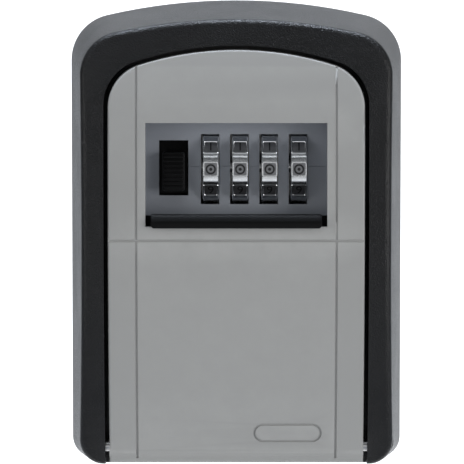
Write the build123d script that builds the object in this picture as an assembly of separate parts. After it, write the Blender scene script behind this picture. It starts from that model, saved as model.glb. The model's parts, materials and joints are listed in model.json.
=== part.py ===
"""Wall-mounted key lock box: a drafted cast housing with a drop-down door that carries a four-wheel lock.

X runs to the right, +Y into the wall, +Z up. The origin is the centre of the back face. Millimetres.
"""

from build123d import *
import math
import os

# ---- housing ----
BACK_HALF = 42.2                 # half width where the housing meets the wall
BACK_LOW, BACK_HIGH = -59.0, 59.0
BACK_ARCH_R = 146.0              # radius of the arched top, seen from the front
BACK_TOP_R, BACK_FOOT_R = 11.8, 5.5
FRONT_TOP_R, FRONT_FOOT_R = 10.5, 6.5
DRAFT = 0.0965                   # inward lean of every side, mm per mm
LOFT_Y = -46.0                   # a plane just in front of the crown
PAD_Y = -1.0                     # front of the rubber pad between housing and wall
FLOOR_Y = -3.5                   # inner face of the back wall
EDGE_R = 1.6                     # rounding where the front meets the sides

# ---- crowned front: a cylinder about an axis along X ----
CROWN_R = 188.0
CROWN_Y = -42.0                  # foremost point
CROWN_Z = 4.6
CROWN_AXIS_Y = CROWN_Y + CROWN_R

# ---- door ----
DOOR_HALF = 31.8
DOOR_LOW, DOOR_HIGH = -55.5, 48.3
DOOR_ARCH_R = 81.0
DOOR_TOP_R = 11.0
DOOR_GAP = 1.05
DOOR_BACK_Y = -31.6
SKIN = 2.0
DOOR_EDGE_R = 0.6
GROOVE_X, GROOVE_Z = 24.8, 1.3
GROOVE_R, GROOVE_SUNK = 0.33, 0.05    # radius of the grooves, and how deep their centre lies
GROOVE_START, GROOVE_SWEEP = -16.0, 34.3    # degrees about the crown's axis, from the top down
MARK_X, MARK_Z = 12.8, -47.7     # middle of the blank stadium outline
MARK_LONG, MARK_HIGH, MARK_LINE = 17.1, 4.9, 0.55
MARK_DEEP = 0.3
INDEX_Z, INDEX_FROM = 19.0, -11.5
INDEX_LINE = 0.16                # width and depth of the fine line across the dial plate
LEDGE_Y = -30.0                  # step in the housing that carries the door seal
CAVITY_HALF, CAVITY_LOW, CAVITY_HIGH = 30.0, -53.5, 46.5

# ---- hinge ----
HINGE_Y, HINGE_Z = -29.4, -51.6
BARREL_R = 3.9
PIN_R = 1.5
RUN = 0.05                       # radial clearance of a running fit
TROUGH_Y = -24.0                 # front edge of the housing's floor

# ---- window, number wheels and code discs ----
WINDOW_HALF, WINDOW_LOW, WINDOW_HIGH = 22.5, 4.8, 30.4
PLATE_FRONT, PLATE_BACK = -32.1, -30.5
WHEEL_Y, WHEEL_Z = -26.95, 18.6
WHEEL_R, WHEEL_FACE_R = 9.65, 9.25
WHEEL_WIDE = 4.0
WHEEL_PITCH = 7.31
WHEEL_SLOTS = [-6.55 + WHEEL_PITCH * n for n in range(4)]
WHEEL_SHIFT = 0.2                # the wheels sit a little right of their slots' middles
SLOT_WIDE, SLOT_R, SLOT_LOW = 4.65, 9.9, 9.5
DISC_R, DISC_WIDE = 4.4, 1.6
DISC_CLEAR = 0.25                # relief behind the dial plate
HUB_R = 2.5
GATE_DEEP, GATE_WIDE = 1.6, 2.3
FINGER_SHORT = 0.3               # how far short of the discs the fingers stop
AXLE_R = 1.5

# ---- lock case on the back of the door ----
CASE_HALF, CASE_LOW, CASE_HIGH = 24.0, 2.6, 33.2
CASE_WALL = 1.4
CASE_BACK = -15.4
COVER_BACK = -14.2
EAR_X, EAR_ZS = 26.7, (6.6, 29.8)
BOSS_X, BOSS_ZS, BOSS_R = 20.9, (5.7, 30.1), 1.7
RIB_WIDE = 0.9

# ---- latch ----
LATCH_TRAVEL = 2.8
LATCH_FRONT, LATCH_BACK = -16.9, -15.7
SHELF_LOW, SHELF_HIGH = 4.7, 5.9
TONGUE_HALF, TONGUE_TOP = 5.5, 41.6
NOSE_LOW, NOSE_FRONT, NOSE_BACK = 37.6, -12.7, -11.5
SLIDER_X = -15.6
SLIDER_SLOT = (7.3, 11.7, 25.5)       # width, lowest and highest
PAD_WIDE, PAD_LOW, PAD_HIGH = 5.5, 13.1, 22.7
PAD_FRONT = -35.7
PAD_RIBS, PAD_PITCH = 8, 1.07
STEM = (4.8, 14.4, 20.4)                # width, lowest and highest
SPRING_Y, SPRING_R = -22.0, 2.1

# ---- weather shutter ----
SHUTTER_HALF, SHUTTER_LOW, SHUTTER_HIGH = 23.8, -19.5, 7.2
SHUTTER_FRONT, SHUTTER_BACK = -38.0, -36.9
LIP_HALF, LIP_LOW, LIP_HIGH = 21.15, 4.55, 7.7
LIP_FRONT, LIP_NECK = -43.6, -42.15
RAIL_X = (24.1, 25.6)
GUIDE_FRONT, GUIDE_BACK = -36.6, -35.6
GUIDE_LOW, GUIDE_HIGH = -22.0, 2.9
GUIDE_SCREWS = [(x, z) for x in (-27.0, 27.0) for z in (-19.0, -4.0)]

# ---- code-change lever ----
LEVER_X, LEVER_Z, LEVER_LONG = 13.0, 12.0, 15.0
LEVER_FRONT, LEVER_BACK = -13.9, -12.9

# ---- fixings ----
WALL_HOLES = [(x, z) for x in (-20.0, 20.0) for z in (-40.0, 36.0)]
WALL_HOLE_R = 2.5
KEEPER_SCREWS = [(-5.0, 29.5), (5.0, 29.5)]
HOOK_XS = (-8.0, 8.0)
HOOK_Z = -6.0
HOOK_SCREWS = [(-14.5, -3.0), (14.5, -3.0)]


def block(x0, x1, y0, y1, z0, z1):
    """A box between two corners."""
    middle = Pos((x0 + x1) / 2, (y0 + y1) / 2, (z0 + z1) / 2)
    return middle * Box(abs(x1 - x0), abs(y1 - y0), abs(z1 - z0))


def rod_x(r, x0, x1, y, z):
    return Pos((x0 + x1) / 2, y, z) * Rot(0, 90, 0) * Cylinder(r, abs(x1 - x0))


def rod_y(r, y0, y1, x, z):
    return Pos(x, (y0 + y1) / 2, z) * Rot(90, 0, 0) * Cylinder(r, abs(y1 - y0))


def rod_z(r, z0, z1, x, y):
    return Pos(x, y, (z0 + z1) / 2) * Cylinder(r, abs(z1 - z0))


def shield(half, low, high, arch_r, top_r, foot_r=0.0):
    """The arched outline that the housing and the door share, drawn in X and Z."""
    shoulder = high - arch_r + math.sqrt(arch_r**2 - half**2)
    sides = Polyline((half, shoulder), (half, low), (-half, low), (-half, shoulder))
    arch = ThreePointArc((-half, shoulder), (0, high), (half, shoulder))
    face = make_face([*sides.edges(), arch])
    face = fillet(face.vertices().group_by(Axis.Y)[-1], top_r)
    if foot_r:
        face = fillet(face.vertices().group_by(Axis.Y)[0], foot_r)
    return face


def prism(face, y_back, y_front):
    """An outline given depth, from y_back forward to y_front."""
    return extrude(Plane.XZ.offset(-y_back) * face, amount=y_back - y_front)


def crown(inset=0.0):
    """Everything behind the crowned front, or behind a surface inset from it."""
    return rod_x(CROWN_R - inset, -50, 50, CROWN_AXIS_Y, CROWN_Z)


def door_outline(grow=0.0, low=DOOR_LOW, foot_r=0.0):
    return shield(DOOR_HALF + grow, low, DOOR_HIGH + grow, DOOR_ARCH_R, DOOR_TOP_R, foot_r)


def both(shape):
    """A shape and its mirror image, left and right."""
    return shape + mirror(shape, Plane.YZ)


def screw(x, z, seat, tip, head_r=2.1, head_high=1.3, shank_r=1.0):
    """A cross-recess pan screw along Y: its head stands behind or in front of seat."""
    out = math.copysign(head_high, seat - tip)
    body = rod_y(head_r, seat, seat + out, x, z) + rod_y(shank_r, seat, tip, x, z)
    top, bed = seat + 2 * out, seat + out * 0.4
    for wide, high in ((0.5, 2.4), (2.4, 0.5)):
        body -= block(x - wide / 2, x + wide / 2, bed, top, z - high / 2, z + high / 2)
    return body


# ---- fixed to the wall ----
def housing():
    depth = PAD_Y - LOFT_Y
    lean = DRAFT * depth
    back = shield(BACK_HALF, BACK_LOW, BACK_HIGH, BACK_ARCH_R, BACK_TOP_R, BACK_FOOT_R)
    front = shield(
        BACK_HALF - lean, BACK_LOW + lean, BACK_HIGH - lean,
        BACK_ARCH_R, FRONT_TOP_R, FRONT_FOOT_R,
    )
    shell = loft([Plane.XZ.offset(-PAD_Y) * back, Plane.XZ.offset(-LOFT_Y) * front], ruled=True)
    shell = shell & crown()
    shell = fillet(front_edges(shell), EDGE_R)
    mouth = door_outline(DOOR_GAP, low=-70.0)
    shell -= prism(mouth, LEDGE_Y, LOFT_Y)
    shell -= prism(
        shield(CAVITY_HALF, CAVITY_LOW, CAVITY_HIGH, DOOR_ARCH_R, DOOR_TOP_R - 2.0, 3.0),
        FLOOR_Y, LEDGE_Y - 1.0,
    )
    gate = DOOR_HALF + DOOR_GAP
    shell -= block(-gate, gate, TROUGH_Y, LOFT_Y, -70.0, HINGE_Z + BARREL_R + 1.2)
    shell -= rod_x(PIN_R, -37.4, 45.0, HINGE_Y, HINGE_Z)
    shell -= both(block(33.0, 37.4, 0.0, -24.0, -42.0, 40.0))
    for x, z in WALL_HOLES:
        shell -= rod_y(WALL_HOLE_R, 0.0, -6.0, x, z)
    for x, z in KEEPER_SCREWS + HOOK_SCREWS:
        shell -= rod_y(1.0, -1.4, -6.0, x, z)
    return shell


def front_edges(shell):
    """The edges where the crowned front meets the leaning sides."""
    face = shell.faces().sort_by(Axis.Y)[0]
    return face.edges()


def wall_pad():
    """The thin rubber pad that seals the housing to the wall."""
    pad = prism(
        shield(BACK_HALF - 0.3, BACK_LOW + 0.3, BACK_HIGH - 0.3, BACK_ARCH_R, BACK_TOP_R, BACK_FOOT_R),
        0.0, PAD_Y,
    )
    for x, z in WALL_HOLES:
        pad -= rod_y(WALL_HOLE_R, 0.5, -2.0, x, z)
    return pad


def door_seal():
    """A rubber strip on the housing's ledge, up both sides and over the top."""
    high = DOOR_HIGH + DOOR_GAP - 0.25
    outer = shield(DOOR_HALF + 0.8, -45.0, high, DOOR_ARCH_R, DOOR_TOP_R)
    inner = shield(CAVITY_HALF + 0.2, -60.0, CAVITY_HIGH + 0.2, DOOR_ARCH_R, DOOR_TOP_R - 2.0)
    return prism(outer, LEDGE_Y, LEDGE_Y - 1.3) - prism(inner, LEDGE_Y + 1, LEDGE_Y - 3)


def hinge_pin():
    pin = rod_x(PIN_R, -37.3, 38.5, HINGE_Y, HINGE_Z)
    return chamfer(pin.edges().filter_by(GeomType.CIRCLE), 0.25)


def keeper():
    """The catch behind which the latch's hook drops: a shelf with an upstanding lip."""
    plate = block(-9, 9, FLOOR_Y, FLOOR_Y - 1.5, 26.0, 36.4)
    plate += block(-9, 9, FLOOR_Y, -14.5, 35.2, 36.4)
    plate += block(-9, 9, -14.5, -13.2, 35.2, NOSE_LOW - 0.25)
    plate = fillet(plate.edges().filter_by(Axis.Y).sort_by(Axis.Z)[:2], 1.5)
    for x, z in KEEPER_SCREWS:
        plate -= rod_y(1.15, 0, -8, x, z)
    return plate


def keeper_screws():
    return [screw(x, z, FLOOR_Y - 1.5, -1.5) for x, z in KEEPER_SCREWS]


def key_hook():
    """A plate on the back wall with two upturned hooks for the keys."""
    plate = block(-18, 18, FLOOR_Y, FLOOR_Y - 1.2, -8.5, 0.5)
    plate = fillet(plate.edges().filter_by(Axis.Y), 2.0)
    for x in HOOK_XS:
        plate += rod_y(1.3, FLOOR_Y - 0.6, -10.6, x, HOOK_Z)
        plate += Pos(x, -10.6, HOOK_Z) * Sphere(1.3)
        plate += rod_z(1.3, HOOK_Z, HOOK_Z + 3.4, x, -10.6)
        plate += Pos(x, -10.6, HOOK_Z + 3.4) * Sphere(1.3)
    for x, z in HOOK_SCREWS:
        plate -= rod_y(1.15, 0, -8, x, z)
    return plate


def hook_screws():
    return [screw(x, z, FLOOR_Y - 1.2, -1.5) for x, z in HOOK_SCREWS]


# ---- the door ----
def door_panel():
    pan = prism(door_outline(), DOOR_BACK_Y, LOFT_Y) & crown()
    rim = front_edges(pan)
    lowest = rim.sort_by(Axis.Z)[0]
    pan = fillet([edge for edge in rim if edge != lowest], DOOR_EDGE_R)
    hollow = prism(door_outline(-SKIN, low=DOOR_LOW + SKIN), DOOR_BACK_Y + 1, LOFT_Y)
    panel = pan - (hollow & crown(SKIN))
    panel += rod_x(BARREL_R, -DOOR_HALF, DOOR_HALF, HINGE_Y, HINGE_Z)
    panel += standing_parts() & crown(SKIN / 2)
    panel -= rod_x(PIN_R + RUN, -50, 50, HINGE_Y, HINGE_Z)
    panel -= block(-WINDOW_HALF, WINDOW_HALF, -34, LOFT_Y, WINDOW_LOW, WINDOW_HIGH)
    for x, z in [(x, z) for x in (-EAR_X, EAR_X) for z in EAR_ZS]:
        panel -= rod_y(0.9, PLATE_BACK, -37.2, x, z)
    for x, z in GUIDE_SCREWS:
        panel -= rod_y(0.8, GUIDE_FRONT, -38.4, x, z)
    return panel - grooves()


def standing_parts():
    """Rails for the shutter and bosses for screws, on the back of the door."""
    rail = block(RAIL_X[0], RAIL_X[1], GUIDE_FRONT, LOFT_Y, GUIDE_LOW, CASE_HIGH)
    parts = both(rail)
    for z in EAR_ZS:
        parts += both(rod_y(2.5, PLATE_BACK, LOFT_Y, EAR_X, z))
    for x, z in GUIDE_SCREWS:
        parts += rod_y(2.2, GUIDE_FRONT, LOFT_Y, x, z)
    return parts


def grooves():
    """Round-bottomed grooves that follow the crown, two upright and one across, and a blank outline."""
    bed_r = CROWN_R - GROOVE_SUNK
    bed_y = CROWN_AXIS_Y - math.sqrt(bed_r**2 - (GROOVE_Z - CROWN_Z) ** 2)
    lines = rod_x(GROOVE_R, -40, 40, bed_y, GROOVE_Z)
    axis = Axis((0, CROWN_AXIS_Y, CROWN_Z), (1, 0, 0))
    for x in (-GROOVE_X, GROOVE_X):
        section = Pos(x, CROWN_AXIS_Y - bed_r, CROWN_Z) * make_face(Circle(GROOVE_R).edges())
        lines += revolve(section.rotate(axis, GROOVE_START), axis, GROOVE_SWEEP)
    return lines + stadium_line()


def stadium_line():
    outline = SlotOverall(MARK_LONG, MARK_HIGH)
    outline -= SlotOverall(MARK_LONG - 2 * MARK_LINE, MARK_HIGH - 2 * MARK_LINE)
    return prism(Pos(MARK_X, MARK_Z) * outline, -30, LOFT_Y) - crown(MARK_DEEP)


def dial_plate():
    """The grey bezel behind the window: a plate with slots and a raised frame."""
    plate = block(-CASE_HALF, CASE_HALF, PLATE_BACK, PLATE_FRONT, 3.1, 32.1)
    plate += block(-23.7, 23.7, PLATE_FRONT, -36.7, 3.3, 31.9)
    plate -= block(-WINDOW_HALF, WINDOW_HALF, PLATE_FRONT, -38, 4.3, 30.9)
    for x in WHEEL_SLOTS:
        left, right = x - SLOT_WIDE / 2, x + SLOT_WIDE / 2
        plate -= rod_x(SLOT_R, left, right, WHEEL_Y, WHEEL_Z)
        plate -= block(left, right, -29, -38, SLOT_LOW, WHEEL_Z)
        disc = x + WHEEL_SHIFT + WHEEL_WIDE / 2
        plate -= rod_x(DISC_R + DISC_CLEAR, disc - 0.1, disc + DISC_WIDE + DISC_CLEAR, WHEEL_Y, WHEEL_Z)
    wide, low, high = SLIDER_SLOT
    plate -= block(SLIDER_X - wide / 2, SLIDER_X + wide / 2, -29, -38, low, high)
    line = INDEX_LINE / 2
    plate -= block(INDEX_FROM, WINDOW_HALF, PLATE_FRONT + INDEX_LINE, -38, INDEX_Z - line, INDEX_Z + line)
    return plate


def shutter_guide():
    """The plate that keeps the lowered shutter against the back of the door."""
    plate = block(-28.6, 28.6, GUIDE_BACK, GUIDE_FRONT, GUIDE_LOW, GUIDE_HIGH)
    plate -= block(-12, 12, -30, -40, -14.0, -6.0)
    for x, z in GUIDE_SCREWS:
        plate -= rod_y(1.0, -30, -40, x, z)
    return plate


def guide_screws():
    return [
        screw(x, z, GUIDE_BACK, -38.2, head_r=1.7, head_high=1.1, shank_r=0.8)
        for x, z in GUIDE_SCREWS
    ]


def case_ribs():
    """The upright ribs between the wheels that carry the axle: (left, right) of each."""
    left = WHEEL_SLOTS[0] + WHEEL_SHIFT - WHEEL_WIDE / 2 - 0.35
    ribs = [(left - RIB_WIDE, left)]
    for x in WHEEL_SLOTS:
        start = x + WHEEL_SHIFT + WHEEL_WIDE / 2 + DISC_WIDE + 0.25
        ribs.append((start, start + RIB_WIDE))
    return ribs


def lock_case():
    inner = CASE_HALF - CASE_WALL
    low, high = CASE_LOW + CASE_WALL, CASE_HIGH - CASE_WALL
    case = block(-CASE_HALF, CASE_HALF, PLATE_BACK, CASE_BACK, CASE_LOW, CASE_HIGH)
    case -= block(-inner, inner, -40, 0, low, high)
    for x0, x1 in case_ribs():
        case += block(x0, x1, PLATE_BACK, -17.6, 15.0, high + 0.2)
    for z in EAR_ZS:
        case += both(block(CASE_HALF - 0.2, 29.2, PLATE_BACK, -29.0, z - 2.6, z + 2.6))
    for z in BOSS_ZS:
        boss = rod_y(BOSS_R, -26, CASE_BACK, BOSS_X, z)
        case += both(boss + block(BOSS_X, inner + 0.2, -26, CASE_BACK, z - BOSS_R, z + BOSS_R))
    case -= rod_x(AXLE_R, -12, 23, WHEEL_Y, WHEEL_Z)
    case -= block(-TONGUE_HALF - 0.3, TONGUE_HALF + 0.3, LATCH_FRONT - 0.3, 0, high - 1, 40)
    for z in EAR_ZS:
        case -= both(rod_y(1.1, -34, -27, EAR_X, z))
    for z in BOSS_ZS:
        case -= both(rod_y(0.9, -24, 0, BOSS_X, z))
    return case


def case_screws():
    return [
        screw(x, z, -29.0, -37.0, head_r=1.9, head_high=1.2, shank_r=0.9)
        for x in (-EAR_X, EAR_X) for z in EAR_ZS
    ]


def rear_cover():
    cover = block(-CASE_HALF, CASE_HALF, CASE_BACK, COVER_BACK, CASE_LOW, CASE_HIGH)
    cover = fillet(cover.edges().filter_by(Axis.Y), 1.5)
    for z in BOSS_ZS:
        cover -= both(rod_y(1.1, -20, 0, BOSS_X, z))
    return cover - rod_y(1.4, -20, 0, LEVER_X, LEVER_Z)


def cover_screws():
    return [
        screw(x, z, COVER_BACK, -22.0, head_r=1.9, head_high=1.1, shank_r=0.9)
        for x in (-BOSS_X, BOSS_X) for z in BOSS_ZS
    ]


def wheel_axle():
    ribs = case_ribs()
    return rod_x(AXLE_R, ribs[0][0] - 1.3, ribs[-1][1] + 1.3, WHEEL_Y, WHEEL_Z)


def axle_clips():
    """Two rings pushed on to the axle's ends."""
    ribs = case_ribs()
    rings = []
    for x0 in (ribs[0][0] - 0.8, ribs[-1][1] + 0.2):
        ring = rod_x(2.6, x0, x0 + 0.6, WHEEL_Y, WHEEL_Z)
        ring -= rod_x(AXLE_R, x0 - 1, x0 + 2, WHEEL_Y, WHEEL_Z)
        rings.append(ring)
    return rings


def detent_springs():
    """A bowed leaf over each wheel, which clicks it from number to number."""
    path = [
        (-30.2, 31.8), (-28.4, 31.8), (-27.2, 29.1), (-26.7, 29.1), (-23.0, 31.2),
        (-23.0, 30.85), (-26.6, 28.75), (-27.3, 28.75), (-28.6, 31.4), (-30.2, 31.4),
    ]
    leaf = make_face(Polyline(*path, close=True))
    leaves = []
    for x in WHEEL_SLOTS:
        left = x + WHEEL_SHIFT - 1.5
        leaves.append(extrude(Plane.YZ.offset(left) * leaf, amount=3.0))
    return leaves


# ---- number wheels ----
def number_wheel(n):
    """Ten number faces with a ridge between each two, and a hub for the code disc."""
    middle = WHEEL_SLOTS[n] + WHEEL_SHIFT
    points = []
    for k in range(10):
        for turn, r in ((-11.5, WHEEL_FACE_R), (11.5, WHEEL_FACE_R), (13.5, WHEEL_R), (22.5, WHEEL_R)):
            a = math.radians(36 * k + turn)
            points.append((WHEEL_Y - r * math.cos(a), WHEEL_Z + r * math.sin(a)))
    rim = make_face(Polyline(*points, close=True))
    left = middle - WHEEL_WIDE / 2
    wheel = extrude(Plane.YZ.offset(left) * rim, amount=WHEEL_WIDE)
    wheel += rod_x(HUB_R, middle, middle + WHEEL_WIDE / 2 + DISC_WIDE, WHEEL_Y, WHEEL_Z)
    return wheel - rod_x(AXLE_R + RUN, -30, 30, WHEEL_Y, WHEEL_Z)


def code_disc(n):
    """The gated disc beside a wheel. Its gate faces down when the wheel shows its code number."""
    left = WHEEL_SLOTS[n] + WHEEL_SHIFT + WHEEL_WIDE / 2
    disc = rod_x(DISC_R, left, left + DISC_WIDE, WHEEL_Y, WHEEL_Z)
    disc -= rod_x(HUB_R + 0.02, -30, 30, WHEEL_Y, WHEEL_Z)
    low = WHEEL_Z - DISC_R
    half = GATE_WIDE / 2
    return disc - block(left - 1, left + 3, WHEEL_Y - half, WHEEL_Y + half, low - 1, low + GATE_DEEP)


# ---- latch ----
def finger_xs():
    return [x + WHEEL_SHIFT + WHEEL_WIDE / 2 + DISC_WIDE / 2 for x in WHEEL_SLOTS]


def latch_plate():
    """A web behind the wheels, fingers below the code discs, and a hook at the top."""
    plate = block(-17.9, 17.9, LATCH_FRONT, LATCH_BACK, SHELF_LOW, 28.0)
    plate = fillet(plate.edges().filter_by(Axis.Y), 1.2)
    plate += block(-TONGUE_HALF, TONGUE_HALF, LATCH_FRONT, LATCH_BACK, 26.0, TONGUE_TOP)
    plate += block(-TONGUE_HALF, TONGUE_HALF, LATCH_FRONT, NOSE_BACK, TONGUE_TOP - 1.2, TONGUE_TOP)
    plate += block(-TONGUE_HALF, TONGUE_HALF, NOSE_FRONT, NOSE_BACK, NOSE_LOW, TONGUE_TOP)
    plate += block(-4.6, 19.0, -28.2, LATCH_BACK, SHELF_LOW, SHELF_HIGH)
    tip = WHEEL_Z - DISC_R - LATCH_TRAVEL - FINGER_SHORT
    for x in finger_xs():
        plate += block(x - 0.6, x + 0.6, WHEEL_Y - 0.95, WHEEL_Y + 0.95, SHELF_LOW, tip)
    return plate - rod_y(1.0, -30, 0, SLIDER_X, 17.4)


def thumb_slider():
    """The ribbed release pad, its stem through the dial plate and a shield behind the slot."""
    half = PAD_WIDE / 2
    pad = block(SLIDER_X - half, SLIDER_X + half, PLATE_FRONT - 0.3, PAD_FRONT, PAD_LOW, PAD_HIGH)
    middle = (PAD_LOW + PAD_HIGH) / 2
    for k in range(PAD_RIBS + 1):
        z = middle + (k - PAD_RIBS / 2) * PAD_PITCH
        pad -= block(SLIDER_X - 5, SLIDER_X + 5, PAD_FRONT + 0.6, PAD_FRONT - 1, z - 0.24, z + 0.24)
    wide, low, high = STEM
    pad += block(SLIDER_X - wide / 2, SLIDER_X + wide / 2, PLATE_FRONT - 0.5, LATCH_FRONT, low, high)
    pad += block(SLIDER_X - 4.8, SLIDER_X + 4.8, -30.2, -29.4, 10.4, 28.4)
    return pad - rod_y(1.0, -21, 0, SLIDER_X, 17.4)


def slider_rivet():
    return rod_y(1.0, -21, LATCH_BACK, SLIDER_X, 17.4)


def latch_spring():
    """The coil that presses the slider down, kept as its outer tube."""
    tube = rod_z(SPRING_R, STEM[2], CASE_HIGH - CASE_WALL, SLIDER_X, SPRING_Y)
    return tube - rod_z(SPRING_R - 0.6, 0, 40, SLIDER_X, SPRING_Y)


# ---- weather shutter ----
def weather_shutter():
    """A thin plate that slides up over the wheels, with a lip at its top for the thumb."""
    plate = block(-SHUTTER_HALF, SHUTTER_HALF, SHUTTER_BACK, SHUTTER_FRONT, SHUTTER_LOW, SHUTTER_HIGH)
    lip = block(-LIP_HALF, LIP_HALF, LIP_NECK, LIP_FRONT, LIP_LOW, LIP_HIGH)
    lip = fillet(lip.edges().filter_by(Axis.X).sort_by(Axis.Y)[:2], 0.6)
    neck = block(-LIP_HALF, LIP_HALF, SHUTTER_BACK, LIP_NECK - 0.2, WINDOW_LOW + 0.2, LIP_HIGH)
    return plate + neck + lip


# ---- code-change lever ----
def change_lever():
    arm = rod_y(3.0, LEVER_FRONT, LEVER_BACK, LEVER_X, LEVER_Z)
    end = LEVER_X - LEVER_LONG
    arm += block(end, LEVER_X, LEVER_FRONT, LEVER_BACK, LEVER_Z - 1.5, LEVER_Z + 1.5)
    arm += block(end, end + 1.6, LEVER_BACK, -9.8, LEVER_Z - 1.5, LEVER_Z + 1.5)
    return arm - rod_y(1.4 + RUN, -20, 0, LEVER_X, LEVER_Z)


def lever_pivot():
    """The shouldered rivet that the lever turns on."""
    shank = rod_y(1.4, CASE_BACK, LEVER_BACK + 0.1, LEVER_X, LEVER_Z)
    return shank + rod_y(2.5, LEVER_BACK + 0.1, LEVER_BACK + 0.8, LEVER_X, LEVER_Z)


NODES = {
    "housing": housing,
    "wall_pad": wall_pad,
    "door_seal": door_seal,
    "hinge_pin": hinge_pin,
    "keeper": keeper,
    "keeper_screws": keeper_screws,
    "key_hook": key_hook,
    "hook_screws": hook_screws,
    "door_panel": door_panel,
    "dial_plate": dial_plate,
    "shutter_guide": shutter_guide,
    "guide_screws": guide_screws,
    "lock_case": lock_case,
    "case_screws": case_screws,
    "rear_cover": rear_cover,
    "cover_screws": cover_screws,
    "wheel_axle": wheel_axle,
    "axle_clips": axle_clips,
    "detent_springs": detent_springs,
    "latch_plate": latch_plate,
    "thumb_slider": thumb_slider,
    "slider_rivet": slider_rivet,
    "latch_spring": latch_spring,
    "weather_shutter": weather_shutter,
    "change_lever": change_lever,
    "lever_pivot": lever_pivot,
}


def write(name, made):
    """One STEP for one node; a list holds like pieces that stay separate solids."""
    shape = Compound(children=[Part() + piece for piece in made]) if isinstance(made, list) else made
    export_step(shape, f"parts/{name}.step")


os.makedirs("parts", exist_ok=True)
for name, make in NODES.items():
    write(name, make())
for n in range(len(WHEEL_SLOTS)):
    write(f"number_wheel_{n + 1}", number_wheel(n))
    write(f"code_disc_{n + 1}", code_disc(n))
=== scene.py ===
"""Finishes and fine pieces for a wall-mounted key lock box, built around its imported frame.

X runs to the right, +Y into the wall, +Z up, in metres, with the origin at the middle of the back.
"""

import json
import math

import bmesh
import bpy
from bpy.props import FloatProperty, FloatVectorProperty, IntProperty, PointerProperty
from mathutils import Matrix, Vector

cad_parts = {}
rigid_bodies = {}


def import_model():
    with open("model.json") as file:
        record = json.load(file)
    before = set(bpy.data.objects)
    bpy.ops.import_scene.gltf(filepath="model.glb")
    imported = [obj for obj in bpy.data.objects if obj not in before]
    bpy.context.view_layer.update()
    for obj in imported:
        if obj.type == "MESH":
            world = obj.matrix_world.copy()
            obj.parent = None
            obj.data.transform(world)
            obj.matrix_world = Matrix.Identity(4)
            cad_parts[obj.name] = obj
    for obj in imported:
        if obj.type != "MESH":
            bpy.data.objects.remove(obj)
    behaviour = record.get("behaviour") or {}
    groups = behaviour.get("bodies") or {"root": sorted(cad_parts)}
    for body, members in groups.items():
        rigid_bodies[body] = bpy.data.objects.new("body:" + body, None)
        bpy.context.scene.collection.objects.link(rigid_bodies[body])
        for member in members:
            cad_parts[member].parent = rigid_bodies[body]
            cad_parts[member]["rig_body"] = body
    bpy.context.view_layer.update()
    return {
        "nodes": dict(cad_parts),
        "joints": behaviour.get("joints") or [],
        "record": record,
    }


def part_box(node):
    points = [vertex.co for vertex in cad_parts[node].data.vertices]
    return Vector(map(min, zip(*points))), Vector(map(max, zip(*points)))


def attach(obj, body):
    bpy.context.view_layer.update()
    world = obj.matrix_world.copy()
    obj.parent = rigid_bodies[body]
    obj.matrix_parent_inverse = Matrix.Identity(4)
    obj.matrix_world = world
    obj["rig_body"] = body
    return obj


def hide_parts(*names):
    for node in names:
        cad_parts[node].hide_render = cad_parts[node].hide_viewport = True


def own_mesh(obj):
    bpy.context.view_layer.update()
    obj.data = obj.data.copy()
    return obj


bl_info = {
    "name": "Key Lock Box",
    "version": (1, 0, 0),
    "blender": (4, 5, 0),
    "location": "View3D > Sidebar > Lock Box",
    "description": "Builds the casting, door, dial, wheels and lock works of a wall key safe",
    "category": "Object",
}

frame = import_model()

NODES = frame["nodes"]
JOINTS = {joint["name"]: joint for joint in frame["joints"]}
MM = 0.001
WHEELS = (1, 2, 3, 4)
DIGITS = 10
FIELD_DEEP = 0.14 * MM
SHARP = math.radians(32)
FLAT_SIDE = 12.0 * MM * MM             # area from which a flat side keeps its own direction
FLAT_REACH = math.cos(math.radians(50))    # how far a face may lean and still take that direction
WELD = 0.002 * MM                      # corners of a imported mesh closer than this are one
SCREW_STEP = 0.9                       # radians from one screw's cross to the next one's
CONVEX_START, CONVEX_GAIN = 0.52, 9.0  # pointiness at which an edge starts to be rubbed, and how fast

# ---------------------------------------------------------------- settings


def length(name, description, default):
    return FloatProperty(name=name, description=description, default=default, unit="LENGTH")


def tint(name, description, default):
    return FloatVectorProperty(
        name=name, description=description, subtype="COLOR", size=3, min=0, max=1, default=default)


class LockBoxSizes(bpy.types.PropertyGroup):
    """Sizes of the fine pieces, in metres where they are lengths."""

    ease: length("Edge ease", "Rounding on the small metal and plastic parts", 0.14 * MM)
    ridge_half: length(
        "Ridge half width", "Half the width of the finger ridge between two numbers", 1.2 * MM)
    face_wide: length("Number face width", "Width of the face that carries a number", 3.96 * MM)
    face_high: length("Number face height", "Height of the face that carries a number", 3.84 * MM)
    digit_high: length("Number height", "Height of a number on its face", 2.5 * MM)
    grip_pitch: length("Grip pitch", "Distance from rib to rib on the release slide", 1.07 * MM)
    grip_ribs: IntProperty(
        name="Grip ribs", description="Number of ribs on the release slide", default=8, min=2)
    spring_turns: FloatProperty(
        name="Spring turns", description="Turns of the latch spring", default=8.0, min=2.0)
    coat_grain: length("Coat grain", "Size of the grains in the housing's powder coat", 0.42 * MM)


class LockBoxColours(bpy.types.PropertyGroup):
    """Colours of the finishes."""

    coat: tint("Housing coat", "Charcoal powder coat", (0.0042, 0.0042, 0.0048))
    door: tint("Door paint", "Silver-grey paint", (0.330, 0.330, 0.323))
    dial: tint("Dial plate", "Slate moulding", (0.232, 0.246, 0.274))
    black: tint("Black mouldings", "Slide and shutter", (0.0018, 0.0018, 0.0020))
    wheel: tint("Wheels", "Plated number wheels", (0.70, 0.71, 0.72))


def sizes():
    return bpy.context.scene.lock_box_sizes


def colours():
    return bpy.context.scene.lock_box_colours


# ---------------------------------------------------------------- nodes


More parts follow.
